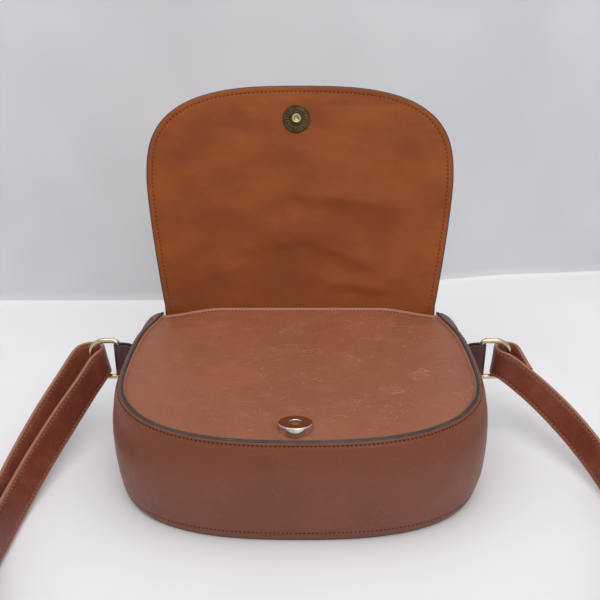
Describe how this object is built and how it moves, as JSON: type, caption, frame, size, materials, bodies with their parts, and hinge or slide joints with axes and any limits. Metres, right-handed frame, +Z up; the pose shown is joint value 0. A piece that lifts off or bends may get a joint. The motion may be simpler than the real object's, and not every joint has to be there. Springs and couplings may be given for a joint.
{
  "type": "saddle handbag",
  "caption": "Saddle handbag of brown leather on its back, flap standing open on a fold over the mouth, magnetic snap, ring tabs and shoulder strap.",
  "frame": {"origin": "middle of the back panel's outer face, which the bag lies on", "axes": "+X across the bag, +Y towards the mouth, +Z up from the back panel to the front panel"},
  "size_m": [0.3427, 0.3237, 0.2178],
  "materials": {
    "leather": "smooth semi-gloss brown leather",
    "edge_paint": "dark edge paint",
    "board": "plain board",
    "lining": "orange-brown satin lining",
    "tab_leather": "dark wine leather",
    "strap_leather": "smooth red-brown leather",
    "socket_metal": "polished",
    "magnet": "plain",
    "washer_steel": "plain",
    "antique_brass": "darkened antique brass",
    "pale_gold": "polished pale gold"
  },
  "bodies": {
    "root": {"front_panel": "leather", "front_edge_paint": "edge_paint", "front_board": "board", "front_lining": "lining", "back_panel": "leather", "back_edge_paint": "edge_paint", "back_board": "board", "back_lining": "lining", "gusset": "leather", "gusset_lining": "lining", "left_tab_patch": "tab_leather", "right_tab_patch": "tab_leather", "snap_socket": "socket_metal", "snap_magnet": "magnet", "socket_washer": "washer_steel"},
    "lid": {"lid_leather": "leather", "lid_board": "board", "lid_lining": "lining"},
    "flap": {"flap_leather": "leather", "flap_board": "board", "flap_lining": "lining", "snap_plate": "antique_brass", "plate_washer": "washer_steel"},
    "strap": {"strap": "strap_leather", "left_tab_loop": "tab_leather", "right_tab_loop": "tab_leather", "slider": "pale_gold"},
    "left_ring": {"left_ring": "pale_gold"},
    "right_ring": {"right_ring": "pale_gold"}
  },
  "joints": [
    {"name": "lid_fold", "type": "hinge", "parent": "root", "child": "lid", "pos_m": [0, 0.0724, 0.00195], "axis": [-1, 0, 0], "range_deg": [0, 70]},
    {"name": "flap_fold", "type": "hinge", "parent": "lid", "child": "flap", "pos_m": [0, 0.0694, 0.0787], "axis": [1, 0, 0], "range_deg": [0, 112.4]},
    {"name": "strap_swing", "type": "hinge", "parent": "root", "child": "strap", "pos_m": [0, 0.057, 0.0455], "axis": [-1, 0, 0], "range_deg": [0, 175]},
    {"name": "left_ring_turn", "type": "hinge", "parent": "strap", "child": "left_ring", "pos_m": [-0.12128, 0.057, 0.0455], "axis": [0, 0, 1], "range_deg": [-10, 10]},
    {"name": "right_ring_turn", "type": "hinge", "parent": "strap", "child": "right_ring", "pos_m": [0.12128, 0.057, 0.0455], "axis": [0, 0, 1], "range_deg": [-10, 10]}
  ]
}
